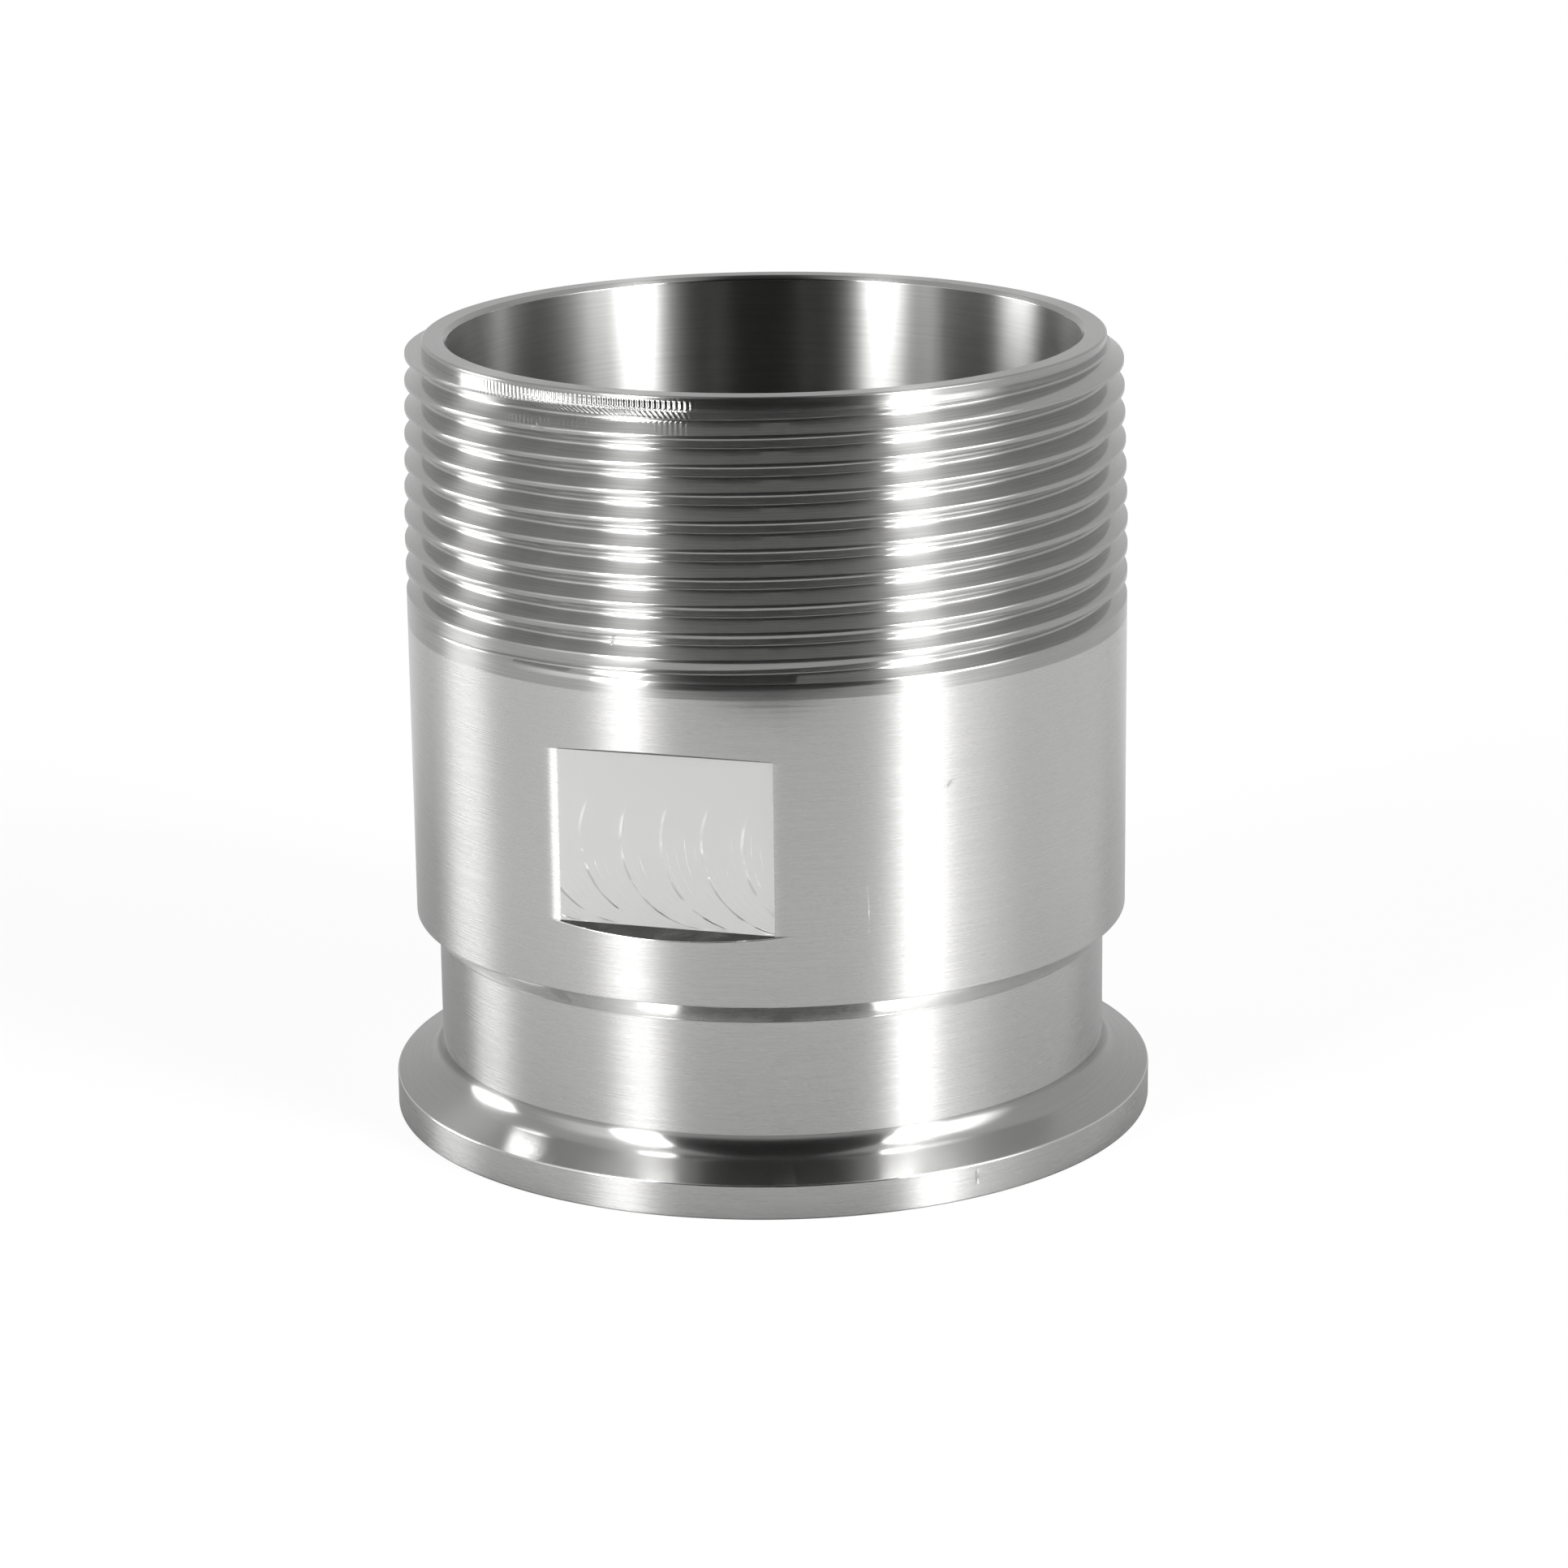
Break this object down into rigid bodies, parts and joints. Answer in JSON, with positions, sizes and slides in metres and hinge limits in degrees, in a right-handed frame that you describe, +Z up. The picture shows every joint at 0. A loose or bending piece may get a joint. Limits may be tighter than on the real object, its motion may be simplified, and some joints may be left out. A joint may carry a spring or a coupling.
{
  "type": "sanitary clamp threaded adapter",
  "caption": "Turned stainless steel pipe adapter with a sanitary clamp flange below, wrench flats on its body and a tapered external pipe thread above.",
  "frame": {"origin": "middle of the clamp face, in the plane that the part stands on", "axes": "+Z up the bore from the clamp face to the threaded end, -Y towards the viewer of the picture"},
  "size_m": [0.064, 0.064, 0.0656],
  "materials": {
    "stainless_steel": "polished"
  },
  "bodies": {
    "root": {"adapter_body": "stainless_steel"}
  },
  "joints": []
}
